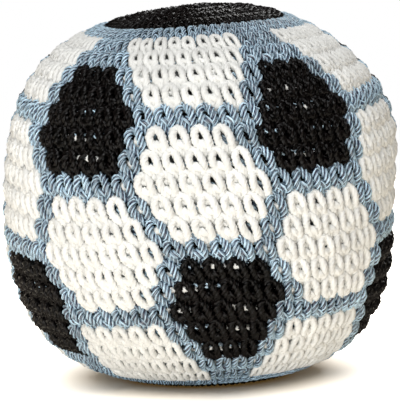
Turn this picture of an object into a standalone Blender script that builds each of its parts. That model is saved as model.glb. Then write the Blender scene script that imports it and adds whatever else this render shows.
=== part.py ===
"""Crocheted footbag with the football pattern.

The cover is crocheted in rounds from the top pole to the bottom pole with three yarns: black
pentagon patches, white hexagon patches and a grey-blue outline one stitch wide between them.
Each area of one colour is a panel of the cover, and every round of stitches is a ridge on it.
Plastic pellets fill the inside. The bag rests on the flat that its weight presses into its
bottom. The origin is the middle of that flat, +Z runs up through both poles, and the side
that is photographed faces -Y.
"""
import math

import bmesh
import bpy
import numpy as np
from mathutils import Vector

# Driving dimensions in metres
COVER_RADIUS = 0.0275  # half the width, over the ridges
COVER_HALF_HEIGHT = 0.0263  # half the height, before the base is pressed flat
BASE_RADIUS = 0.009  # the flat that the bag rests on
COVER_WALL = 0.0026  # crocheted cotton, two strands of yarn deep
RIDGE_HEIGHT = 0.0004  # a round of stitches over the groove beside it
DISC_REACH = 0.013  # from a pole to the edge of its black disc, along the cover
SEAM_GAP = 0.0003  # between neighbouring panels
FILL_GAP = 0.0003  # between the cover and the pellets

# Counts and shares of the crochet pattern
SQUARENESS = 2.5  # power of the outline's curve: 2 is an ellipse, more has fuller shoulders
SECTORS = 5  # repeats of the pattern around the ball
COLUMNS = 11  # stitches of one round in one sector
DISC_ROUNDS = 4  # rounds in each black disc at a pole
PATTERN_ROUNDS = 20  # rounds between the two discs
LEAN_SHARE = 0.28  # of a column: how far each round's stitches sit left of those above
FIRST_TURN = math.radians(-22)  # where column 0 crosses the equator, from -Y towards +X
SLANT_SHARE = 1.25  # a slanted seam's width measured along its round, as a share of its gap

# Facets of the solids
RING_FACETS = 30  # around a disc
FILL_RINGS = 14  # from pole to pole of the filling
FACET_COLUMNS = 2  # widest facet of a patch or the outline, in columns
MERIDIAN_POINTS = 4001  # on the outline's curve, to measure along it
SHARP_ANGLE = math.radians(50)  # edges that fold more than this stay sharp
TURN_STEPS = 10 ** 7  # steps per radian, to compare places around the ball

# Looks: sRGB colours as shares of full brightness, and roughness
BLACK_SHARES = (0.075, 0.065, 0.06)
WHITE_SHARES = (0.93, 0.915, 0.87)
GREY_SHARES = (0.47, 0.56, 0.64)
PELLET_SHARES = (0.85, 0.86, 0.86)
YARN_ROUGHNESS = 0.6
PELLET_ROUGHNESS = 0.35

# The chart. A patch has its first round, counted from the top pole, and then for each of its
# rounds the columns where its run of stitches starts and ends. What no patch covers is outline.
CHART = {
    "white_patch_top": (6, ((-4, 4), (-3, 4), (-2, 4), (-1, 4))),
    "black_patch_upper": (8, ((5, 8), (5, 9), (5, 10), (5, 10), (6, 10))),
    "white_patch_upper": (11, ((0, 4), (0, 5), (0, 6), (1, 6), (2, 6))),
    "white_patch_lower": (14, ((7, 11), (7, 12), (7, 13), (8, 13), (9, 13))),
    "black_patch_lower": (17, ((3, 7), (3, 8), (3, 8), (4, 8), (5, 8))),
    "white_patch_bottom": (20, ((9, 14), (9, 15), (9, 16), (9, 17))),
}

ROUNDS = 2 * DISC_ROUNDS + PATTERN_ROUNDS
COLUMN_TURN = 2 * math.pi / (SECTORS * COLUMNS)
FULL_STEPS = round(2 * math.pi * TURN_STEPS)


def meridian():
    """Distance along the cover from the top pole, and the radius and height reached there."""
    angle = np.linspace(math.pi / 2, -math.pi / 2, MERIDIAN_POINTS)
    power = 2 / SQUARENESS
    radius = COVER_RADIUS * np.abs(np.cos(angle)) ** power
    height = COVER_HALF_HEIGHT * np.sign(np.sin(angle)) * np.abs(np.sin(angle)) ** power
    steps = np.hypot(np.diff(radius), np.diff(height))
    return np.concatenate(([0], np.cumsum(steps))), radius, height


ALONG, RADIUS, HEIGHT = meridian()
COVER_REACH = ALONG[-1]  # from pole to pole along the cover
PATTERN_REACH = COVER_REACH - 2 * DISC_REACH
ROUND_PITCH = PATTERN_REACH / PATTERN_ROUNDS
HALF_GAP_ROUNDS = SEAM_GAP / 2 / ROUND_PITCH  # half a seam, as a share of a round
SIDE_GAP = SLANT_SHARE * SEAM_GAP / 2  # half a seam, measured along a round
BASE_DROP = COVER_HALF_HEIGHT * (1 - (BASE_RADIUS / COVER_RADIUS) ** SQUARENESS) ** (1 / SQUARENESS)

# Places along the cover where the width of its rounds changes
ROUND_MARKS = (0, DISC_ROUNDS, ROUNDS - DISC_ROUNDS, ROUNDS)
ALONG_MARKS = (0, DISC_REACH, COVER_REACH - DISC_REACH, COVER_REACH)


def cover_radius(rounds):
    """Radius of the cover that many rounds down from the top pole."""
    return np.interp(np.interp(rounds, ROUND_MARKS, ALONG_MARKS), ALONG, RADIUS)


def cover_point(rounds, turn, depth, lowest):
    """Point at a depth under the cover, that many rounds down, pressed up to a lowest height."""
    along = np.interp(rounds, ROUND_MARKS, ALONG_MARKS)
    radius = np.interp(along, ALONG, RADIUS)
    height = np.interp(along, ALONG, HEIGHT)
    outward = (radius / COVER_RADIUS) ** (SQUARENESS - 1) / COVER_RADIUS
    upward = (abs(height) / COVER_HALF_HEIGHT) ** (SQUARENESS - 1) / COVER_HALF_HEIGHT
    upward = math.copysign(upward, height)
    slope = math.hypot(outward, upward)
    radius = max(radius - depth * outward / slope, 0)
    level = max(height - depth * upward / slope + BASE_DROP, lowest)
    return Vector((radius * math.sin(turn), -radius * math.cos(turn), level))


def groove_depth(rounds):
    """Depth of the outer face: nothing on the crest of a round, a ridge's height between two."""
    return RIDGE_HEIGHT * abs(2 * (rounds % 1) - 1)


class Sheet:
    """Outer face of a panel, built from faces on the cover and then thickened inwards."""

    def __init__(self):
        self.mesh = bmesh.new()
        self.rounds = self.mesh.verts.layers.float.new("rounds")
        self.turn = self.mesh.verts.layers.float.new("turn")

    def vertex(self, rounds, turn):
        point = self.mesh.verts.new(cover_point(rounds, turn, groove_depth(rounds), 0))
        point[self.rounds] = rounds
        point[self.turn] = turn
        return point

    def bridge(self, upper, lower):
        """Fill the strip between two rows of (turn, vertex) pairs, both from left to right."""
        left, right = 0, 0
        while left < len(upper) - 1 or right < len(lower) - 1:
            last_lower = right == len(lower) - 1
            more_upper = left < len(upper) - 1
            if last_lower or (more_upper and upper[left + 1][0] <= lower[right + 1][0]):
                corner = upper[left + 1][1]
                self.mesh.faces.new((upper[left][1], lower[right][1], corner))
                left += 1
            else:
                corner = lower[right + 1][1]
                self.mesh.faces.new((upper[left][1], lower[right][1], corner))
                right += 1

    def thicken(self):
        """Extrude the sheet, and set the new face at the cover's wall under the crests."""
        inner = bmesh.ops.extrude_face_region(self.mesh, geom=self.mesh.faces[:])
        for point in inner["geom"]:
            if isinstance(point, bmesh.types.BMVert):
                rounds, turn = point[self.rounds], point[self.turn]
                point.co = cover_point(rounds, turn, COVER_WALL, COVER_WALL)
        bmesh.ops.recalc_face_normals(self.mesh, faces=self.mesh.faces[:])
        return self.mesh


class Patch:
    """One patch of the chart in one sector, with its sides as turns around the ball."""

    def __init__(self, first_round, runs, sector):
        self.top = first_round - 1
        self.bottom = self.top + len(runs)
        self.crests = [self.top + index + 0.5 for index in range(len(runs))]
        self.starts = [start + sector * COLUMNS for start, end in runs]
        self.ends = [end + sector * COLUMNS for start, end in runs]

    def side(self, columns, rounds, clearance):
        """Turn of a side, which runs straight from one round's crest to the next."""
        column = np.interp(rounds, self.crests, columns)
        lean = LEAN_SHARE * (rounds - ROUNDS / 2)
        return FIRST_TURN + (column - lean) * COLUMN_TURN + clearance / cover_radius(rounds)

    def left(self, rounds, clearance):
        return self.side(self.starts, rounds, clearance)

    def right(self, rounds, clearance):
        return self.side(self.ends, rounds, clearance)

    def covers(self, rounds):
        return self.top - HALF_GAP_ROUNDS < rounds < self.bottom + HALF_GAP_ROUNDS


def half_rounds(top, bottom):
    """Crests and grooves from one seam to another, each seam half a gap short."""
    between = [top + index / 2 for index in range(1, 2 * (bottom - top))]
    return [top + HALF_GAP_ROUNDS] + between + [bottom - HALF_GAP_ROUNDS]


def patch_mesh(patch):
    """A patch as rows of facets, as many in each row as its widest round needs."""
    sheet = Sheet()
    widest = max(end - start for start, end in zip(patch.starts, patch.ends))
    facets = math.ceil(widest / FACET_COLUMNS)
    rows = []
    for rounds in half_rounds(patch.top, patch.bottom):
        left, right = patch.left(rounds, SIDE_GAP), patch.right(rounds, -SIDE_GAP)
        turns = np.linspace(left, right, facets + 1)
        rows.append([sheet.vertex(rounds, turn) for turn in turns])
    for upper, lower in zip(rows, rows[1:]):
        for index in range(facets):
            beside = index + 1
            sheet.mesh.faces.new((upper[index], lower[index], lower[beside], upper[beside]))
    return sheet.thicken()


def disc_mesh(pole, edge):
    """Black disc from a pole, at round 0 or at the last round, to its seam with the outline."""
    sheet = Sheet()
    outward = 1 if edge > pole else -1
    levels = [pole + outward * index / 2 for index in range(1, 2 * DISC_ROUNDS)]
    levels.append(edge - outward * HALF_GAP_ROUNDS)
    turns = [index * 2 * math.pi / RING_FACETS for index in range(RING_FACETS)]
    rings = [[sheet.vertex(rounds, turn) for turn in turns] for rounds in levels]
    centre = sheet.vertex(pole, 0)
    for index in range(RING_FACETS):
        beside = (index + 1) % RING_FACETS
        sheet.mesh.faces.new((centre, rings[0][index], rings[0][beside]))
        for inner, outer in zip(rings, rings[1:]):
            sheet.mesh.faces.new((inner[index], outer[index], outer[beside], inner[beside]))
    bmesh.ops.recalc_face_normals(sheet.mesh, faces=sheet.mesh.faces[:])
    return sheet.thicken()


def outline_levels(patches):
    """Crests and grooves of the outline, where a groove that meets a patch's end is two."""
    top, bottom = DISC_ROUNDS, ROUNDS - DISC_ROUNDS
    ends = {patch.top for patch in patches} | {patch.bottom for patch in patches}
    levels = []
    for rounds in half_rounds(top, bottom):
        if rounds in ends:
            levels += [rounds - HALF_GAP_ROUNDS, rounds + HALF_GAP_ROUNDS]
        else:
            levels.append(rounds)
    return levels


def outline_spans(patches, upper, lower):
    """Stretches of outline between two levels, each as its turns at the upper and lower one."""
    present = [patch for patch in patches if patch.covers((upper + lower) / 2)]
    if not present:
        return [((0, 2 * math.pi), (0, 2 * math.pi))]
    present.sort(key=lambda patch: patch.starts[0])
    spans = []
    for index, patch in enumerate(present):
        following = present[(index + 1) % len(present)]
        lap = 2 * math.pi if following is present[0] else 0
        ends = []
        for rounds in (upper, lower):
            start = patch.right(rounds, SIDE_GAP)
            ends.append((start, following.left(rounds, -SIDE_GAP) + lap))
        spans.append(tuple(ends))
    return spans


def wrapped(turn):
    """A place around the ball in whole steps, the same for turns that are a full one apart."""
    return round(turn % (2 * math.pi) * TURN_STEPS) % FULL_STEPS


def filled(marks):
    """The marks around one level in steps, with more between those that are too far apart."""
    if not marks:
        return [round(index * FULL_STEPS / RING_FACETS) for index in range(RING_FACETS)]
    marks = sorted(marks)
    steps = []
    for start, end in zip(marks, marks[1:] + [marks[0] + FULL_STEPS]):
        parts = math.ceil((end - start) / TURN_STEPS / (FACET_COLUMNS * COLUMN_TURN))
        steps += [round(start + (end - start) * index / parts) % FULL_STEPS for index in range(parts)]
    return steps


def span_row(row, start, end):
    """(turn, vertex) pairs of one level from the start of a span to its end."""
    first = wrapped(start)
    full = end - start >= 2 * math.pi
    width = FULL_STEPS if full else (wrapped(end) - first) % FULL_STEPS
    places = sorted((step - first) % FULL_STEPS for step in row)
    inside = [place for place in places if place <= width]
    pairs = [(start + place / TURN_STEPS, row[(first + place) % FULL_STEPS]) for place in inside]
    return pairs + [(end, pairs[0][1])] if full else pairs


def outline_mesh(patches):
    """The outline: one net of stitches between all the patches and the two discs."""
    sheet = Sheet()
    levels = outline_levels(patches)
    bands = [outline_spans(patches, upper, lower) for upper, lower in zip(levels, levels[1:])]
    marks = [set() for level in levels]
    for index, spans in enumerate(bands):
        for ends in spans:
            for side, (start, end) in enumerate(ends):
                if end - start < 2 * math.pi:
                    marks[index + side] |= {wrapped(start), wrapped(end)}
    rows = []
    for rounds, level_marks in zip(levels, marks):
        steps = filled(level_marks)
        rows.append({step: sheet.vertex(rounds, step / TURN_STEPS) for step in steps})
    for index, spans in enumerate(bands):
        for upper, lower in spans:
            sheet.bridge(span_row(rows[index], *upper), span_row(rows[index + 1], *lower))
    for point in [point for point in sheet.mesh.verts if not point.link_faces]:
        sheet.mesh.verts.remove(point)
    return sheet.thicken()


def fill_mesh():
    """The pellets as one solid that fills the cover, flat where the cover is."""
    mesh = bmesh.new()
    bmesh.ops.create_uvsphere(mesh, u_segments=RING_FACETS, v_segments=FILL_RINGS, radius=1)
    depth = COVER_WALL + FILL_GAP
    for point in mesh.verts:
        down = math.acos(max(-1, min(1, point.co.z))) / math.pi
        turn = math.atan2(point.co.x, -point.co.y)
        point.co = cover_point(down * ROUNDS, turn, depth, depth)
    return mesh


def material(name, colour, roughness):
    """Plain surface from an sRGB colour, written as three shares of full brightness."""
    surface = bpy.data.materials.new(name)
    surface.use_nodes = True
    shader = surface.node_tree.nodes["Principled BSDF"]
    linear = [((share + 0.055) / 1.055) ** 2.4 if share > 0.04 else share / 12.92 for share in colour]
    shader.inputs["Base Color"].default_value = (*linear, 1)
    shader.inputs["Roughness"].default_value = roughness
    shader.inputs["Metallic"].default_value = 0
    return surface


def add_object(name, mesh, surface):
    data = bpy.data.meshes.new(name)
    mesh.to_mesh(data)
    mesh.free()
    data.shade_smooth()
    data.set_sharp_from_angle(angle=SHARP_ANGLE)
    data.materials.append(surface)
    bpy.context.scene.collection.objects.link(bpy.data.objects.new(name, data))


def build():
    for old in list(bpy.data.objects):
        bpy.data.objects.remove(old)
    black = material("black_cotton", BLACK_SHARES, YARN_ROUGHNESS)
    white = material("white_cotton", WHITE_SHARES, YARN_ROUGHNESS)
    grey = material("grey_blue_cotton", GREY_SHARES, YARN_ROUGHNESS)
    plastic = material("pellet_plastic", PELLET_SHARES, PELLET_ROUGHNESS)
    patches = []
    for name, (first_round, runs) in CHART.items():
        surface = black if name.startswith("black") else white
        for sector in range(SECTORS):
            patch = Patch(first_round, runs, sector)
            patches.append(patch)
            add_object(f"{name}_{sector + 1}", patch_mesh(patch), surface)
    add_object("black_disc_top", disc_mesh(0, DISC_ROUNDS), black)
    add_object("black_disc_bottom", disc_mesh(ROUNDS, ROUNDS - DISC_ROUNDS), black)
    add_object("grey_outline", outline_mesh(patches), grey)
    add_object("pellet_fill", fill_mesh(), plastic)


build()
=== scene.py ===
"""Crocheted footbag: every stitch of the cover as plied yarn, with the pellets inside it.

The cover is worked in rounds of single crochet from the top pole down. Each stitch is an arch,
whose crown comes out of the round above and whose two legs go in under the round below, and a
bar across its feet, which is the last loop of the stitch. In black stitches, and in many white
ones, a rear strand shows in the opening of the arch. White and grey stitches change yarn on
their last loop, so the bar of the last one before a change has the colour of the next stitch.
Black stitches keep their own bar.
"""
import math

import bpy
import numpy as np
from mathutils import Matrix, Vector


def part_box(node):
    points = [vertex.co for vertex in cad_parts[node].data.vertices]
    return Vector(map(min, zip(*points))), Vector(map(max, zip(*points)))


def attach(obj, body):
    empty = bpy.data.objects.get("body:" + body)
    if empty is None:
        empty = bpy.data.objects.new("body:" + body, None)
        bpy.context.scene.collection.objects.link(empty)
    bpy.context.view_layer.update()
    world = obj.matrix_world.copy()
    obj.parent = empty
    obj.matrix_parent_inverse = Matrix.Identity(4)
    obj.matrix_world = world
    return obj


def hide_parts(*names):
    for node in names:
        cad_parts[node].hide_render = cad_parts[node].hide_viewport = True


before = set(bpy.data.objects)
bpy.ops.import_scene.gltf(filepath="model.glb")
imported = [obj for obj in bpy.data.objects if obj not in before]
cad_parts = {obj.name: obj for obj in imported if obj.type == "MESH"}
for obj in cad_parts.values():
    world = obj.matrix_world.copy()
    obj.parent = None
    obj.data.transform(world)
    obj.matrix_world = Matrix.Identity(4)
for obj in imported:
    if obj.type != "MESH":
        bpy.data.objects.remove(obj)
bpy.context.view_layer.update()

# The cover, as the solids have it. Lengths here and below are in metres.
COVER_RADIUS = 0.0275
COVER_HALF_HEIGHT = 0.0263
BASE_RADIUS = 0.009  # of the flat that the bag rests on
DISC_REACH = 0.013  # along the cover, from a pole to the edge of its black disc
SQUARENESS = 2.5  # power of the cover's outline, where 2 is an ellipse
OUTLINE_POINTS = 4001
SECTORS = 5  # repeats of the pattern round the ball
COLUMNS = 11  # stitches of a round in each of them
DISC_ROUNDS = 4
ROUNDS = 28
LEAN = 0.28  # how far each round lies to the left of the one above, in stitches
FIRST_TURN = math.radians(-22)  # where the pattern starts: a turn goes from the front to the right
DISC_COUNTS = (6, 16, 28, 40)  # stitches in the rounds of a disc, from its pole
ROUND_STITCHES = SECTORS * COLUMNS
COLUMN_TURN = 2 * math.pi / ROUND_STITCHES
# Patches of one repeat: the first round of each, and where its stitches start and end in each round
CHART = {
    "white_patch_top": (6, ((-4, 4), (-3, 4), (-2, 4), (-1, 4))),
    "black_patch_upper": (8, ((5, 8), (5, 9), (5, 10), (5, 10), (6, 10))),
    "white_patch_upper": (11, ((0, 4), (0, 5), (0, 6), (1, 6), (2, 6))),
    "white_patch_lower": (14, ((7, 11), (7, 12), (7, 13), (8, 13), (9, 13))),
    "black_patch_lower": (17, ((3, 7), (3, 8), (3, 8), (4, 8), (5, 8))),
    "white_patch_bottom": (20, ((9, 14), (9, 15), (9, 16), (9, 17))),
}

# The yarn: four-ply mercerised cotton
YARN_RADIUS = 0.00066
PLIES = 4
TWIST_PITCH = 0.0028  # one full turn of the plies
FULL_WIDTH = 0.0029  # stitches narrower than this have their yarn squeezed thinner
THINNEST = 0.55  # share of its thickness that squeezed yarn keeps at least
# How far the furrow between two plies goes in, as a share of the radius
PLY_DEPTH = {"white": 0.16, "black": 0.36, "grey": 0.4}
# Distance between the rings of a strand, and the points of a ring on each ply
YARN_STEP = {"white": 0.0004, "black": 0.0004, "grey": 0.0003}
PLY_POINTS = 3
CARRIED_STEP = 0.0008
CARRIED_PLY_POINTS = 2

# The stitches
CREST = -0.65  # where the legs of an arch lie highest, in yarn radii above the crests of the cover
LOOSENESS = 0.02  # how much a strand differs from its template, in stitches and rounds
LOOSE_RISE = 3  # how many times more it differs in its rise, in yarn radii
# Thickness as a share of the template's: black stitches are tight, and fill their openings
SNUG = {"white": 1.0, "black": 1.14, "grey": 1.0}
# Depth between two rounds as a share of the template's
FURROW = {"white": 1.0, "black": 1.5, "grey": 1.3}
# Share of the white stitches whose opening a rear strand closes, down to the first of these
# rounds and from the second on, and how much smaller it is in the first round of a panel
LOOSE_ROUNDS = (11, 14)
CLOSED_SHARES = (0.35, 0.97)
FIRST_ROUND_LESS = 0.4
CROCHET_SEED = 100

# Strands of one stitch. Each point is (across, down, rise, thickness): stitches to the right of
# its middle, rounds below the top of its round, yarn radii above the crests, share of the yarn.
ARCH = (
    (0.292, 1.4, -3, 0.7),
    (0.259, 1.29, -2.3, 0.85),
    (0.196, 1.18, -1.8, 1),
    (0.112, 1.07, -1.55, 1.06),
    (0.01, 0.97, -1.36, 1.06),
    (-0.083, 0.86, -1.18, 1.04),
    (-0.161, 0.75, -1, 1),
    (-0.227, 0.62, -0.82, 0.96),
    (-0.268, 0.48, -0.7, 0.94),
    (-0.276, 0.33, -0.74, 0.94),
    (-0.258, 0.19, -0.94, 0.96),
    (-0.198, 0.07, -1.2, 1),
    (-0.064, 0.015, -1.32, 1.02),
    (0.092, 0.07, -1.18, 1),
    (0.187, 0.19, -0.9, 0.96),
    (0.254, 0.33, -0.68, 0.94),
    (0.307, 0.48, -0.62, 0.94),
    (0.348, 0.62, -0.74, 0.96),
    (0.384, 0.75, -0.95, 1),
    (0.407, 0.86, -1.15, 1.04),
    (0.42, 0.97, -1.35, 1.06),
    (0.417, 1.07, -1.55, 1.06),
    (0.406, 1.18, -1.8, 1),
    (0.389, 1.29, -2.3, 0.85),
    (0.372, 1.4, -3, 0.7),
)
BAR = (
    (-0.34, 0.80, -2.6, 0.8),
    (-0.19, 0.76, -1.5, 0.98),
    (-0.04, 0.73, -1.05, 1.05),
    (0.10, 0.74, -0.95, 1.05),
    (0.24, 0.78, -1.05, 1.02),
    (0.38, 0.84, -1.6, 0.95),
    (0.49, 0.90, -2.8, 0.8),
)
# The same for the last stitch before a change of yarn
LAST_ARCH = (
    (0.3, 1.38, -3, 0.7),
    (0.255, 1.26, -2.3, 0.85),
    (0.181, 1.14, -1.72, 1),
    (0.076, 1.02, -1.46, 1.06),
    (-0.038, 0.9, -1.25, 1.04),
    (-0.149, 0.77, -1.03, 1),
    (-0.227, 0.62, -0.82, 0.96),
    (-0.27, 0.47, -0.7, 0.94),
    (-0.278, 0.32, -0.75, 0.94),
    (-0.259, 0.18, -0.96, 0.96),
    (-0.198, 0.07, -1.2, 1),
    (-0.064, 0.015, -1.32, 1.02),
    (0.081, 0.06, -1.2, 1),
    (0.186, 0.18, -0.93, 0.96),
    (0.257, 0.32, -0.7, 0.94),
    (0.31, 0.47, -0.62, 0.94),
    (0.358, 0.62, -0.74, 0.96),
    (0.396, 0.77, -0.98, 1),
    (0.422, 0.9, -1.22, 1.04),
    (0.426, 1.02, -1.45, 1.06),
    (0.416, 1.14, -1.72, 1),
    (0.395, 1.26, -2.3, 0.85),
    (0.38, 1.38, -3, 0.7),
)
LAST_BAR = (
    (-0.16, 0.57, -3.2, 0.8),
    (-0.03, 0.52, -2.2, 1),
    (0.07, 0.51, -1.8, 1),
    (0.18, 0.55, -2.2, 1),
    (0.31, 0.62, -3.2, 0.8),
)
# The rear strand of a black stitch or a close white one, which shows in the opening of its arch
REAR = (
    (-0.34, 0.38, -3.0, 0.85),
    (-0.14, 0.36, -1.95, 0.95),
    (0.04, 0.35, -1.75, 1.0),
    (0.22, 0.36, -1.95, 0.95),
    (0.42, 0.38, -3.0, 0.85),
)

# The yarns that run inside a stitch of each colour, and how many rounds below its top they lie
INSIDE = {
    "white": (("grey", 0.62), ("black", 0.84)),
    "black": (("white", 0.40), ("grey", 0.28)),
    "grey": (("black", 0.38), ("white", 0.72)),
}
CARRIED_ACROSS = (-0.6, -0.3, 0, 0.3, 0.6)  # where the points of a carried strand lie, in stitches
CARRIED_RISE = -3.3  # rise of its middle, in yarn radii
CARRIED_DIP = 0.3  # how much lower it lies one stitch away
CARRIED_SHARE = 0.8  # its thickness as a share of the yarn's
CARRIED_LOOSENESS = 0.03
CARRIED_SEED = 200
# Share of the stitches of each colour whose carried yarn is drawn up near the surface, and by how
# many yarn radii. Black stitches are tight, so it shows in few of them, as a pale speck.
SHOWING = {"white": 1, "black": 0.3, "grey": 1}
DRAWN_UP = {"white": 1.0, "black": 2.0, "grey": 1.0}

# The bag is filled by hand. A lump is the turn and height of a place on the cover in degrees,
# how far it stands out there, and its spread in degrees.
LUMPS = (
    (90, -8, -0.0007, 15),
    (90, 21, 0.0007, 9),
    (90, 52, -0.0005, 13),
    (90, -46, 0.0008, 13),
    (-90, 63, -0.0008, 17),
    (-90, 18, -0.0006, 14),
    (-90, -46, 0.0007, 13),
    (-30, 55, -0.0005, 14),
    (180, 20, 0.0005, 20),
    (150, -20, -0.0006, 16),
    (-140, 0, 0.0005, 18),
    (-160, 55, -0.0005, 16),
)
NARROWEST = 0.15  # a turn counts for less near a pole, but never for less than this share
# The rounds sag. A sag is the turn of a place in degrees, its round, how far the stitches lie
# below their round in rounds, and its spread in degrees and in rounds.
SAGS = (
    (-38, 15.5, 0.28, 22, 4.0),
    (35, 13.5, 0.25, 20, 3.5),
    (0, 17.5, -0.36, 18, 2.8),
    (105, 11, -0.2, 25, 4.0),
    (-15, 23.5, 0.6, 45, 2.0),
    (170, 16, 0.2, 28, 4.0),
    (-115, 12, -0.18, 25, 4.0),
)

# The pellets, as close as they lie when the bag is full
PELLET_RADIUS = 0.0019
PELLET_SPACING = 0.004
ROW_STEP = 0.866  # from one row of close-packed balls to the next, in spacings
LAYER_STEP = 0.8165  # and from one layer to the next
LAYERS_UP = 8  # tried above and below the middle
ROWS_OUT = 9  # tried to each side of it
PELLET_PLAY = 0.00012  # how far a pellet lies from its place
PELLET_LEAST = (0.8, 0.9, 0.75)  # size of a pellet on its three axes, as a share
PELLET_MOST = (1, 1, 0.95)
PELLET_TURN = (6.28, 6.28, 6.28)  # a full turn about each axis
PELLET_SEED = 300
PELLET_TREE_SEED = 5

# The photograph's view
IMAGE_HEIGHT = 409  # pixels, and its larger side
PIXEL = COVER_RADIUS / 198.5  # at the middle of the bag
CAMERA_DISTANCE = 0.5
CAMERA_ELEVATION = math.radians(7.5)
CAMERA_ROLL = math.radians(2.0)
AIM_BELOW = 12.5  # pixels from the middle of the bag down to the middle of the picture
AIM_LEFT = 0.5
SENSOR = 36  # millimetres

# The stage
FLOOR_REACH = 0.22  # from its middle to each side
LAMP_AIM = (0, 0, 0.025)


def outline():
    """Distance along the cover from the top pole, and the radius and height reached there."""
    angle = np.linspace(math.pi / 2, -math.pi / 2, OUTLINE_POINTS)
    power = 2 / SQUARENESS
    radius = COVER_RADIUS * np.abs(np.cos(angle)) ** power
    height = COVER_HALF_HEIGHT * np.sign(np.sin(angle)) * np.abs(np.sin(angle)) ** power
    steps = np.hypot(np.diff(radius), np.diff(height))
    return np.concatenate(([0], np.cumsum(steps))), radius, height


ALONG, RADIUS, HEIGHT = outline()
ROUND_MARKS = (0, DISC_ROUNDS, ROUNDS - DISC_ROUNDS, ROUNDS)
ALONG_MARKS = (0, DISC_REACH, ALONG[-1] - DISC_REACH, ALONG[-1])
# Height of the cover's middle above the flat that the bag rests on
BASE_DROP = COVER_HALF_HEIGHT * (1 - (BASE_RADIUS / COVER_RADIUS) ** SQUARENESS) ** (1 / SQUARENESS)


def away(turn, degrees):
    """How many degrees a turn is from another, the short way round."""
    return (np.degrees(turn) - degrees + 180) % 360 - 180


def sagged(rounds, turn):
    """Rounds with the sags of the cover in them."""
    for place, level, depth, spread, reach in SAGS:
        far = (away(turn, place) / spread) ** 2 + ((rounds - level) / reach) ** 2
        rounds = rounds + depth * np.exp(-far / 2)
    return rounds


def lumpy(radius, height, turn):
    """How far the hand-filled bag stands out from the even form."""
    lift = np.degrees(np.arctan2(height, radius))
    level = np.maximum(np.cos(np.radians(lift)), NARROWEST)
    total = 0
    for place, angle, push, spread in LUMPS:
        far = (away(turn, place) * level / spread) ** 2 + ((lift - angle) / spread) ** 2
        total = total + push * np.exp(-far / 2)
    return total


def on_cover(rounds, turn, rise, room):
    """Points that many rounds down and so far around the ball, at a rise above the crests.

    No point comes nearer to the floor than its room.
    """
    along = np.interp(sagged(rounds, turn), ROUND_MARKS, ALONG_MARKS)
    radius = np.interp(along, ALONG, RADIUS)
    height = np.interp(along, ALONG, HEIGHT)
    outward = (radius / COVER_RADIUS) ** (SQUARENESS - 1) / COVER_RADIUS
    upward = (np.abs(height) / COVER_HALF_HEIGHT) ** (SQUARENESS - 1) / COVER_HALF_HEIGHT
    upward = np.copysign(upward, height)
    slope = np.hypot(outward, upward)
    rise = rise + lumpy(radius, height, turn)
    radius = np.maximum(radius + rise * outward / slope, 0)
    level = np.maximum(height + rise * upward / slope + BASE_DROP, room)
    return np.stack((radius * np.sin(turn), -radius * np.cos(turn), level), axis=-1)


def panels():
    """The panel of the cover that each stitch of the pattern rounds belongs to."""
    found = {}
    for name, (first_round, runs) in CHART.items():
        for sector in range(SECTORS):
            for index, (start, end) in enumerate(runs):
                for column in range(start, end):
                    place = (column + sector * COLUMNS) % ROUND_STITCHES
                    found[first_round + index, place] = f"{name}_{sector + 1}"
    return found


def stitches():
    """Every stitch: round, turn of its middle, width as a turn, its panel and the next one's."""
    chart = panels()
    rows = []
    for level in range(1, ROUNDS + 1):
        from_pole = min(level, ROUNDS + 1 - level)
        disc = from_pole <= DISC_ROUNDS
        count = DISC_COUNTS[from_pole - 1] if disc else ROUND_STITCHES
        width = 2 * math.pi / count
        lean = LEAN * (level - 0.5 - ROUNDS / 2) * COLUMN_TURN
        for column in range(count):
            middle = FIRST_TURN + (column + 0.5) * width - lean
            if disc:
                panel = following = "black_disc_top" if level <= DISC_ROUNDS else "black_disc_bottom"
            else:
                panel = chart.get((level, column), "grey_outline")
                following = chart.get((level, (column + 1) % count), "grey_outline")
            rows.append((level, middle, width, panel, following))
    return rows


ROWS = stitches()
LEVEL = np.array([row[0] for row in ROWS], float)
MIDDLE = np.array([row[1] for row in ROWS])
WIDTH = np.array([row[2] for row in ROWS])
PANEL = np.array([row[3] for row in ROWS])
FOLLOWING = np.array([row[4] for row in ROWS])
COLOUR = np.array([panel.split("_")[0] for panel in PANEL])
NEXT_COLOUR = np.array([panel.split("_")[0] for panel in FOLLOWING])
REAL_WIDTH = WIDTH * np.interp(np.interp(LEVEL - 0.5, ROUND_MARKS, ALONG_MARKS), ALONG, RADIUS)
SQUEEZE = np.clip(REAL_WIDTH / FULL_WIDTH, THINNEST, 1)


def strands(template, chosen, looseness, draw, lift=0.0, snug=1.0, furrow=1.0):
    """Centre lines and thicknesses of one strand in each chosen stitch, each a little its own.

    The lift is how many yarn radii higher than in the template each strand lies, snug is how much
    thicker it is, and furrow how much deeper it dips between two rounds.
    """
    across, down, rise, share = np.array(template, float).T
    rise = CREST + (rise - CREST) * furrow
    share = share * snug
    count = len(chosen)
    shift = draw.normal(0, looseness, (count, 3))
    spread = 1 + draw.normal(0, looseness, (count, 1))
    wander = draw.normal(0, looseness / 2, (count, len(across), 2))
    across = across * spread + shift[:, :1] + wander[..., 0]
    down = down + shift[:, 1:2] + wander[..., 1]
    radius = YARN_RADIUS * SQUEEZE[chosen][:, None]
    rise = (rise + LOOSE_RISE * shift[:, 2:] + np.reshape(lift, (-1, 1))) * radius
    rounds = np.clip(LEVEL[chosen][:, None] - 1 + down, 0, ROUNDS)
    turn = MIDDLE[chosen][:, None] + across * WIDTH[chosen][:, None]
    room = np.maximum(-rise, share * radius)
    return on_cover(rounds, turn, rise, room), share * radius


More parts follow.
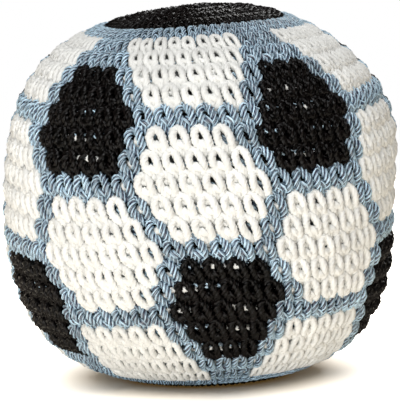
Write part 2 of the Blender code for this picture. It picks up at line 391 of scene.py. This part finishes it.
def add(tree, kind, inputs=None, **settings):
    """Add a node with its settings. An input is a value, or the output that is linked to it."""
    node = tree.nodes.new(kind)
    for name, value in settings.items():
        setattr(node, name, value)
    for name, value in (inputs or {}).items():
        if isinstance(value, bpy.types.NodeSocket):
            tree.links.new(value, node.inputs[name])
        else:
            node.inputs[name].default_value = value
    return node


def geometry_tree(name, sizes):
    """A new Geometry Nodes tree. Its named inputs are a mesh and these sizes, each of its kind."""
    tree = bpy.data.node_groups.new(name, "GeometryNodeTree")
    for label, kind in (("Geometry", "Geometry"), *sizes.items()):
        tree.interface.new_socket(label, in_out="INPUT", socket_type=f"NodeSocket{kind}")
    tree.interface.new_socket("Geometry", in_out="OUTPUT", socket_type="NodeSocketGeometry")
    return tree


def plied_yarn_tree():
    """Geometry Nodes: turns the edges of a mesh into plied yarn of the thickness they carry."""
    sizes = {
        "Plies": "Int",
        "Points per Ply": "Int",
        "Ply Depth": "Float",
        "Twist Pitch": "Float",
        "Step": "Float",
        "Finish": "Material",
    }
    tree = geometry_tree("plied_yarn", sizes)
    given = tree.nodes.new("NodeGroupInput").outputs

    # The path of each strand, which turns about itself once in a twist pitch
    path = add(tree, "GeometryNodeMeshToCurve", {"Mesh": given["Geometry"]})
    path = add(tree, "GeometryNodeCurveSplineType", {"Curve": path.outputs[0]}, spline_type="CATMULL_ROM")
    path = add(tree, "GeometryNodeSetSplineResolution", {"Geometry": path.outputs[0], "Resolution": 6})
    path = add(
        tree,
        "GeometryNodeResampleCurve",
        {"Curve": path.outputs[0], "Length": given["Step"]},
        mode="LENGTH",
    )
    place = add(tree, "GeometryNodeSplineParameter")
    turns = add(
        tree,
        "ShaderNodeMath",
        {0: place.outputs["Length"], 1: given["Twist Pitch"]},
        operation="DIVIDE",
    )
    start = add(tree, "GeometryNodeInputNamedAttribute", {"Name": "tone"}, data_type="FLOAT")
    twist = add(tree, "ShaderNodeMath", {0: turns.outputs[0], 1: start.outputs[0]}, operation="ADD")
    twist = add(tree, "ShaderNodeMath", {0: twist.outputs[0], 1: 2 * math.pi}, operation="MULTIPLY")
    path = add(tree, "GeometryNodeSetCurveTilt", {"Curve": path.outputs[0], "Tilt": twist.outputs[0]})
    path = add(
        tree,
        "GeometryNodeStoreNamedAttribute",
        {"Geometry": path.outputs[0], "Name": "along", "Value": place.outputs["Length"]},
        data_type="FLOAT",
        domain="POINT",
    )

    # The ring that is swept along it: a circle, drawn in between its plies
    sides = add(tree, "ShaderNodeMath", {0: given["Plies"], 1: given["Points per Ply"]}, operation="MULTIPLY")
    ring = add(tree, "GeometryNodeCurvePrimitiveCircle", {"Resolution": sides.outputs[0], "Radius": 1.0})
    around = add(tree, "GeometryNodeSplineParameter")
    angle = add(tree, "ShaderNodeMath", {0: around.outputs["Factor"], 1: 2 * math.pi}, operation="MULTIPLY")
    lobes = add(tree, "ShaderNodeMath", {0: angle.outputs[0], 1: given["Plies"]}, operation="MULTIPLY")
    crest = add(tree, "ShaderNodeMath", {0: lobes.outputs[0]}, operation="COSINE")
    crest = add(tree, "ShaderNodeMath", {0: crest.outputs[0], 1: 0.5, 2: 0.5}, operation="MULTIPLY_ADD")
    hollow = add(tree, "ShaderNodeMath", {0: 1.0, 1: crest.outputs[0]}, operation="SUBTRACT")
    hollow = add(tree, "ShaderNodeMath", {0: hollow.outputs[0], 1: given["Ply Depth"]}, operation="MULTIPLY")
    reach = add(tree, "ShaderNodeMath", {0: 1.0, 1: hollow.outputs[0]}, operation="SUBTRACT")
    spot = add(tree, "GeometryNodeInputPosition")
    lobed = add(
        tree,
        "ShaderNodeVectorMath",
        {0: spot.outputs[0], "Scale": reach.outputs[0]},
        operation="SCALE",
    )
    ring = add(tree, "GeometryNodeSetPosition", {"Geometry": ring.outputs[0], "Position": lobed.outputs[0]})
    east = add(tree, "ShaderNodeMath", {0: angle.outputs[0]}, operation="COSINE")
    north = add(tree, "ShaderNodeMath", {0: angle.outputs[0]}, operation="SINE")
    label = add(tree, "ShaderNodeCombineXYZ", {0: east.outputs[0], 1: north.outputs[0], 2: crest.outputs[0]})
    ring = add(
        tree,
        "GeometryNodeStoreNamedAttribute",
        {"Geometry": ring.outputs[0], "Name": "around", "Value": label.outputs[0]},
        data_type="FLOAT_VECTOR",
        domain="POINT",
    )

    thickness = add(tree, "GeometryNodeInputNamedAttribute", {"Name": "thickness"}, data_type="FLOAT")
    swept = {
        "Curve": path.outputs[0],
        "Profile Curve": ring.outputs[0],
        "Scale": thickness.outputs[0],
        "Fill Caps": True,
    }
    yarn = add(tree, "GeometryNodeCurveToMesh", swept)
    yarn = add(tree, "GeometryNodeSetShadeSmooth", {"Geometry": yarn.outputs[0]})
    yarn = add(tree, "GeometryNodeRealizeInstances", {"Geometry": yarn.outputs[0]})
    yarn = add(tree, "GeometryNodeSetMaterial", {"Geometry": yarn.outputs[0], "Material": given["Finish"]})
    tree.links.new(yarn.outputs[0], tree.nodes.new("NodeGroupOutput").inputs["Geometry"])
    return tree


def shaped(name, source, tree, values):
    """An object whose plain mesh is what the node tree makes of the source mesh."""
    piece = bpy.data.objects.new(name, source)
    bpy.context.scene.collection.objects.link(piece)
    nodes = piece.modifiers.new(tree.name, "NODES")
    nodes.node_group = tree
    for socket in tree.interface.items_tree:
        if socket.in_out == "INPUT" and socket.name in values:
            nodes[socket.identifier] = values[socket.name]
    graph = bpy.context.evaluated_depsgraph_get()
    made = bpy.data.meshes.new_from_object(piece.evaluated_get(graph))
    piece.modifiers.remove(nodes)
    piece.data = made
    made.name = name
    bpy.data.meshes.remove(source)
    return piece


def wire(name, groups, draw):
    """A mesh of loose edges along the centre lines, with the yarn's thickness and a tone."""
    points, thickness, tones, edges = [], [], [], []
    total = 0
    for lines, share in groups:
        count, length = lines.shape[:2]
        first = total + np.arange(count)[:, None] * length + np.arange(length - 1)
        edges.append(np.stack((first, first + 1), axis=-1).reshape(-1, 2))
        points.append(lines.reshape(-1, 3))
        thickness.append(np.broadcast_to(share, (count, length)).reshape(-1))
        tones.append(np.repeat(draw.random(count), length))
        total += count * length
    mesh = bpy.data.meshes.new(name)
    mesh.from_pydata(np.concatenate(points), np.concatenate(edges), [])
    for label, values in (("thickness", thickness), ("tone", tones)):
        layer = mesh.attributes.new(label, "FLOAT", "POINT")
        layer.data.foreach_set("value", np.concatenate(values).astype(np.float32))
    return mesh


def linear(colour):
    """An sRGB hex colour as linear red, green, blue and alpha."""
    shares = [int(colour[index : index + 2], 16) / 255 for index in (1, 3, 5)]
    return (*(((s + 0.055) / 1.055) ** 2.4 if s > 0.04045 else s / 12.92 for s in shares), 1)


# A cotton fibre is about 0.015 mm across, too fine to show, so bundles of fibres are drawn that
# are about 0.18 mm across and 1.2 mm long
BUNDLES_PER_METRE = 830.0  # along the yarn
BUNDLES_PER_RADIUS = 3.6  # across it
BUNDLE_SHIFT = 37.0  # sets the fibres of one strand apart from those of the next
BUNDLE_RELIEF = 0.00012
FIBRE_WEIGHT = 1.6  # how much a fibre counts for where the painted shade of the furrows ends, so fibre streaks show as painted highlight and shade
PLY_WEIGHT = 0.75  # and how much the crest of a ply does, whose colour is painted highlight
SMOOTHER, ROUGHER = -0.1, 0.15  # how far the roughness of single fibres goes either way


def cotton(name, crest, furrow, depths, tones, roughness, specular):
    """Mercerised cotton, spun and plied: smooth, satin plies with fine fibres lying along them.

    It gives the eye soft lights along the crests of the plies, from its sheen and from a colour
    painted lighter there and along streaks of fibre bundles, which is painted highlight, and
    darker lines between the plies, where the colour of the furrows is painted shade. The depths
    are where the colour of the furrows ends and that of the crests begins, and the tones are how
    dark and how bright single strands are.
    """
    surface = bpy.data.materials.new(name)
    surface.use_nodes = True
    tree = surface.node_tree
    shader = tree.nodes["Principled BSDF"]
    around = add(tree, "ShaderNodeAttribute", attribute_name="around")
    along = add(tree, "ShaderNodeAttribute", attribute_name="along")
    tone = add(tree, "ShaderNodeAttribute", attribute_name="tone")
    parts = add(tree, "ShaderNodeSeparateXYZ", {0: around.outputs["Vector"]})
    length = add(
        tree,
        "ShaderNodeMath",
        {0: along.outputs["Fac"], 1: BUNDLES_PER_METRE},
        operation="MULTIPLY",
    )
    length = add(
        tree,
        "ShaderNodeMath",
        {0: tone.outputs["Fac"], 1: BUNDLE_SHIFT, 2: length.outputs[0]},
        operation="MULTIPLY_ADD",
    )
    east = add(tree, "ShaderNodeMath", {0: parts.outputs[0], 1: BUNDLES_PER_RADIUS}, operation="MULTIPLY")
    north = add(tree, "ShaderNodeMath", {0: parts.outputs[1], 1: BUNDLES_PER_RADIUS}, operation="MULTIPLY")
    place = add(tree, "ShaderNodeCombineXYZ", {0: length.outputs[0], 1: east.outputs[0], 2: north.outputs[0]})
    fibres = add(
        tree,
        "ShaderNodeTexNoise",
        {"Vector": place.outputs[0], "Scale": 1.0, "Detail": 2.0, "Roughness": 0.55},
    )
    crests = add(tree, "ShaderNodeMath", {0: parts.outputs[2], 1: PLY_WEIGHT}, operation="MULTIPLY")
    depth = add(
        tree,
        "ShaderNodeMath",
        {0: fibres.outputs["Fac"], 1: FIBRE_WEIGHT, 2: crests.outputs[0]},
        operation="MULTIPLY_ADD",
    )
    depth = add(
        tree,
        "ShaderNodeMapRange",
        {"Value": depth.outputs[0], "From Min": depths[0], "From Max": depths[1]},
    )
    # Painted light: pale crests and fibre streaks as painted highlight, dark furrows as painted shade
    mixed = add(
        tree,
        "ShaderNodeMix",
        {"Factor": depth.outputs[0], 6: linear(furrow), 7: linear(crest)},
        data_type="RGBA",
    )
    level = add(
        tree,
        "ShaderNodeMapRange",
        {"Value": tone.outputs["Fac"], "To Min": tones[0], "To Max": tones[1]},
    )
    # The painted highlight and shade, made lighter or darker for each strand at random
    painted_light_and_tone = add(tree, "ShaderNodeHueSaturation", {"Color": mixed.outputs[2], "Value": level.outputs[0]})
    tree.links.new(painted_light_and_tone.outputs[0], shader.inputs["Base Color"])
    shine = add(
        tree,
        "ShaderNodeMapRange",
        {"Value": fibres.outputs["Fac"], "To Min": roughness + SMOOTHER, "To Max": roughness + ROUGHER},
    )
    tree.links.new(shine.outputs[0], shader.inputs["Roughness"])
    relief = add(
        tree,
        "ShaderNodeBump",
        {"Height": fibres.outputs["Fac"], "Strength": 0.8, "Distance": BUNDLE_RELIEF},
    )
    tree.links.new(relief.outputs[0], shader.inputs["Normal"])
    shader.inputs["IOR"].default_value = 1.53
    shader.inputs["Specular IOR Level"].default_value = specular
    return surface


def moulded_plastic(name, colour, cloud_colour):
    """Polypropylene, moulded: milky and smooth, which gives the eye a soft gloss."""
    surface = bpy.data.materials.new(name)
    surface.use_nodes = True
    tree = surface.node_tree
    shader = tree.nodes["Principled BSDF"]
    where = add(tree, "ShaderNodeTexCoord")
    # Clouds about 3.8 mm across, so no two pellets look quite the same
    cloud = add(
        tree,
        "ShaderNodeTexNoise",
        {"Vector": where.outputs["Object"], "Scale": 260.0, "Detail": 2.0},
    )
    mixed = add(
        tree,
        "ShaderNodeMix",
        {"Factor": cloud.outputs["Fac"], 6: linear(colour), 7: linear(cloud_colour)},
        data_type="RGBA",
    )
    tree.links.new(mixed.outputs[2], shader.inputs["Base Color"])
    gloss = add(tree, "ShaderNodeMapRange", {"Value": cloud.outputs["Fac"], "To Min": 0.3, "To Max": 0.45})
    tree.links.new(gloss.outputs[0], shader.inputs["Roughness"])
    shader.inputs["IOR"].default_value = 1.49
    return surface


# White yarn is nearly even in colour, with a soft sheen; its furrows are painted a little darker, as painted
# shade
WHITE = cotton(
    "white_mercerised_cotton",
    crest="#F8F9F7",
    furrow="#F1F2EF",
    depths=(0.84, 1.44),
    tones=(0.93, 1.05),
    roughness=0.5,
    specular=0.4,
)
# Black yarn shows its form by thin, weak lights, and by crests painted a little lighter than its black, as
# painted sheen, with furrows painted pure black, as painted shade
BLACK = cotton(
    "black_mercerised_cotton",
    crest="#151111",
    furrow="#000000",
    depths=(0.95, 1.58),
    tones=(0.45, 1.6),
    roughness=0.12,
    specular=0.14,
)
# Grey-blue yarn shines most: its grey-blue is painted pale on the crests, as painted highlight, and dark blue
# in the furrows, as painted shade
GREY = cotton(
    "grey_blue_mercerised_cotton",
    crest="#CDECFF",
    furrow="#04153A",
    depths=(0.88, 1.48),
    tones=(0.82, 1.24),
    roughness=0.25,
    specular=0.85,
)
YARNS = {"white": (WHITE, "white_yarn"), "black": (BLACK, "black_yarn"), "grey": (GREY, "grey_blue_yarn")}
YARN_TREE = plied_yarn_tree()


def yarn_piece(name, colour, groups, draw, step, ply_points):
    """A piece of yarn that rides on the bag."""
    finish, slot = YARNS[colour]
    values = {
        "Plies": PLIES,
        "Points per Ply": ply_points,
        "Ply Depth": PLY_DEPTH[colour],
        "Twist Pitch": TWIST_PITCH,
        "Step": step,
        "Finish": finish,
    }
    piece = shaped(name, wire(name, groups, draw), YARN_TREE, values)
    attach(piece, "root")
    return piece


def crochet():
    """One piece for each panel of the cover: the arches of its stitches, and their bars."""
    kept = (COLOUR == NEXT_COLOUR) | (COLOUR == "black")
    for index, panel in enumerate(sorted(set(PANEL))):
        colour = panel.split("_")[0]
        draw = np.random.default_rng(CROCHET_SEED + index)
        own = PANEL == panel
        # White stitches are looser in the upper rounds and in the first round of a panel, so fewer
        # of their openings are closed there, and none is before a change of yarn
        closed = np.interp(LEVEL, LOOSE_ROUNDS, CLOSED_SHARES)
        closed = closed - FIRST_ROUND_LESS * (LEVEL == LEVEL[own].min())
        filled = (COLOUR == "white") & kept & (draw.random(len(LEVEL)) < closed)
        filled = filled | (COLOUR == "black")
        groups = []
        for template, chosen in (
            (ARCH, own & kept),
            (LAST_ARCH, own & ~kept),
            (BAR, own & kept),
            (LAST_BAR, (FOLLOWING == panel) & ~kept),
            (REAR, own & filled),
        ):
            if chosen.any():
                chosen = np.flatnonzero(chosen)
                groups.append(strands(template, chosen, LOOSENESS, draw, 0, SNUG[colour], FURROW[colour]))
        piece = yarn_piece(f"{panel}_stitches", colour, groups, draw, YARN_STEP[colour], PLY_POINTS)
        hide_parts(panel)


def carried():
    """The two yarns that aren't in work run on inside the stitches of every pattern round."""
    pattern = (LEVEL > DISC_ROUNDS) & (LEVEL <= ROUNDS - DISC_ROUNDS)
    for index, yarn in enumerate(YARNS):
        draw = np.random.default_rng(CARRIED_SEED + index)
        groups = []
        for worked, inside in INSIDE.items():
            if yarn in dict(inside):
                own = np.flatnonzero(pattern & (COLOUR == worked))
                down = dict(inside)[yarn]
                shown = draw.random(len(own)) < SHOWING[worked]
                if worked == "black":
                    shown = shown & (COLOUR == NEXT_COLOUR)[own]
                lift = np.where(shown, DRAWN_UP[worked], 0)
                template = [
                    (across, down, CARRIED_RISE - CARRIED_DIP * abs(across), CARRIED_SHARE)
                    for across in CARRIED_ACROSS
                ]
                groups.append(strands(template, own, CARRIED_LOOSENESS, draw, lift))
        yarn_piece(f"carried_{yarn}_yarn", yarn, groups, draw, CARRIED_STEP, CARRIED_PLY_POINTS)


def pellet_tree():
    """Geometry Nodes: loose pellets on the points of a mesh, each turned its own way."""
    tree = geometry_tree("loose_pellets", {"Pellet Radius": "Float", "Seed": "Int", "Finish": "Material"})
    given = tree.nodes.new("NodeGroupInput").outputs
    bead = add(tree, "GeometryNodeMeshIcoSphere", {"Radius": given["Pellet Radius"], "Subdivisions": 2})
    spin = add(
        tree,
        "FunctionNodeRandomValue",
        {"Min": (0, 0, 0), "Max": PELLET_TURN, "Seed": given["Seed"]},
        data_type="FLOAT_VECTOR",
    )
    size = add(
        tree,
        "FunctionNodeRandomValue",
        {"Min": PELLET_LEAST, "Max": PELLET_MOST, "Seed": given["Seed"]},
        data_type="FLOAT_VECTOR",
    )
    turned = add(tree, "FunctionNodeEulerToRotation", {0: spin.outputs[0]})
    placed = {
        "Points": given["Geometry"],
        "Instance": bead.outputs[0],
        "Rotation": turned.outputs[0],
        "Scale": size.outputs[0],
    }
    laid = add(tree, "GeometryNodeInstanceOnPoints", placed)
    smooth = add(tree, "GeometryNodeSetShadeSmooth", {"Geometry": laid.outputs[0]})
    real = add(tree, "GeometryNodeRealizeInstances", {"Geometry": smooth.outputs[0]})
    real = add(tree, "GeometryNodeSetMaterial", {"Geometry": real.outputs[0], "Material": given["Finish"]})
    tree.links.new(real.outputs[0], tree.nodes.new("NodeGroupOutput").inputs["Geometry"])
    return tree


def pellets():
    """The pellets that fill the cover, close-packed and then each a little out of its place."""
    low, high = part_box("pellet_fill")
    middle = (low + high) / 2
    half = (high - low) / 2
    draw = np.random.default_rng(PELLET_SEED)
    places = []
    for layer in range(-LAYERS_UP, LAYERS_UP + 1):
        for row in range(-ROWS_OUT, ROWS_OUT + 1):
            for column in range(-ROWS_OUT, ROWS_OUT + 1):
                x = (column + 0.5 * ((row + layer) % 2)) * PELLET_SPACING
                y = (row + (layer % 2) / 3) * PELLET_SPACING * ROW_STEP
                z = layer * PELLET_SPACING * LAYER_STEP
                shares = [abs(a) / (b - PELLET_RADIUS) for a, b in zip((x, y, z), half)]
                inside = sum(share**SQUARENESS for share in shares) < 1
                if math.hypot(x, y) < half.x - PELLET_RADIUS and inside:
                    places.append(middle + Vector((x, y, z)) + Vector(draw.normal(0, PELLET_PLAY, 3)))
    mesh = bpy.data.meshes.new("pellets")
    mesh.from_pydata(places, [], [])
    values = {
        "Pellet Radius": PELLET_RADIUS,
        "Seed": PELLET_TREE_SEED,
        "Finish": moulded_plastic("moulded_polypropylene", "#D9DCDA", "#F4F5F2"),
    }
    piece = shaped("pellets", mesh, pellet_tree(), values)
    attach(piece, "root")
    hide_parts("pellet_fill")


def pale_floor():
    """A plain floor, which the camera sees brighter than it shines on the bag."""
    surface = bpy.data.materials.new("pale_floor")
    surface.use_nodes = True
    tree = surface.node_tree
    tree.nodes.remove(tree.nodes["Principled BSDF"])
    seen = add(tree, "ShaderNodeLightPath")
    plain = add(tree, "ShaderNodeBsdfDiffuse", {"Color": linear("#A39B8E")})
    # The first share is above 1, so this colour has no hex value
    bright = add(tree, "ShaderNodeBsdfDiffuse", {"Color": (1.02, 0.985, 0.92, 1)})
    # A warm glow the camera sees on the whole floor: painted bounce light, which shows only in the darkest
    # part of the shadow
    warm = add(tree, "ShaderNodeEmission", {"Color": linear("#48340F"), "Strength": 1.0})
    bright = add(tree, "ShaderNodeAddShader", {0: bright.outputs[0], 1: warm.outputs[0]})
    both = add(
        tree,
        "ShaderNodeMixShader",
        {0: seen.outputs["Is Camera Ray"], 1: plain.outputs[0], 2: bright.outputs[0]},
    )
    tree.links.new(both.outputs[0], tree.nodes["Material Output"].inputs["Surface"])
    return surface


def studio():
    """A world that lights the bag softly, and is white where the camera sees it."""
    world = bpy.data.worlds.new("studio")
    bpy.context.scene.world = world
    world.use_nodes = True
    tree = world.node_tree
    tree.nodes.remove(tree.nodes["Background"])
    seen = add(tree, "ShaderNodeLightPath")
    soft = add(tree, "ShaderNodeBackground", {"Color": linear("#FFF4E6"), "Strength": 0.14})
    white = add(tree, "ShaderNodeBackground", {"Color": linear("#FFFFFF"), "Strength": 1.0})
    both = add(
        tree,
        "ShaderNodeMixShader",
        {0: seen.outputs["Is Camera Ray"], 1: soft.outputs[0], 2: white.outputs[0]},
    )
    tree.links.new(both.outputs[0], tree.nodes["World Output"].inputs["Surface"])


def stage():
    """A plain pale floor, soft lamps and a white background."""
    mesh = bpy.data.meshes.new("floor")
    corners = [(x * FLOOR_REACH, y * FLOOR_REACH, 0) for x, y in ((-1, -1), (1, -1), (1, 1), (-1, 1))]
    mesh.from_pydata(corners, [], [(0, 1, 2, 3)])
    floor = bpy.data.objects.new("floor", mesh)
    bpy.context.scene.collection.objects.link(floor)
    mesh.materials.append(pale_floor())
    studio()

    # A wide lamp lights the floor alone, from above, so the shadow lies close round the foot of
    # the bag, as in a light tent. The others light the bag alone, and the floor doesn't hold
    # their light back: the key stands a little lower than the bag, as the light of a lit table.
    links = {}
    for state in ("INCLUDE", "EXCLUDE"):
        links[state] = bpy.data.collections.new(f"floor_{state.lower()}")
        links[state].objects.link(floor)
        links[state].collection_objects[0].light_linking.link_state = state
    for name, place, size, power, state in (
        ("key", (-0.26, -0.61, -0.22), 0.7, 3.45, "EXCLUDE"),
        ("top", (0.0, -0.32, 0.61), 0.5, 3.5, "EXCLUDE"),
        ("back", (0.1, 0.62, 0.24), 0.5, 1.8, "EXCLUDE"),
        ("over", (0.0, -0.02, 0.6), 1.4, 30.0, "INCLUDE"),
    ):
        lamp = bpy.data.lights.new(name, "AREA")
        lamp.shape = "SQUARE"
        lamp.size = size
        lamp.energy = power
        holder = bpy.data.objects.new(name, lamp)
        holder.location = place
        holder.rotation_euler = (Vector(LAMP_AIM) - Vector(place)).to_track_quat("-Z", "Y").to_euler()
        holder.light_linking.receiver_collection = links[state]
        if state == "EXCLUDE":
            holder.light_linking.blocker_collection = links[state]
        bpy.context.scene.collection.objects.link(holder)


def camera():
    """The photograph's view: from the front, a little above, with a long lens."""
    middle = Vector((0, 0, BASE_DROP))
    back = Vector((0, -math.cos(CAMERA_ELEVATION), math.sin(CAMERA_ELEVATION)))
    right = Vector((1, 0, 0))
    up = right.cross(-back)
    aim = middle - up * AIM_BELOW * PIXEL - right * AIM_LEFT * PIXEL
    data = bpy.data.cameras.new("camera")
    data.sensor_width = SENSOR
    data.lens = SENSOR * (CAMERA_DISTANCE / PIXEL) / IMAGE_HEIGHT
    data.clip_start, data.clip_end = 0.01, 20
    holder = bpy.data.objects.new("camera", data)
    bpy.context.scene.collection.objects.link(holder)
    axes = Matrix((right, up, back)).transposed() @ Matrix.Rotation(-CAMERA_ROLL, 3, "Z")
    holder.matrix_world = Matrix.Translation(aim + back * CAMERA_DISTANCE) @ axes.to_4x4()
    bpy.context.scene.camera = holder


crochet()
carried()
pellets()
stage()
camera()
bpy.context.scene.view_settings.view_transform = "Standard"
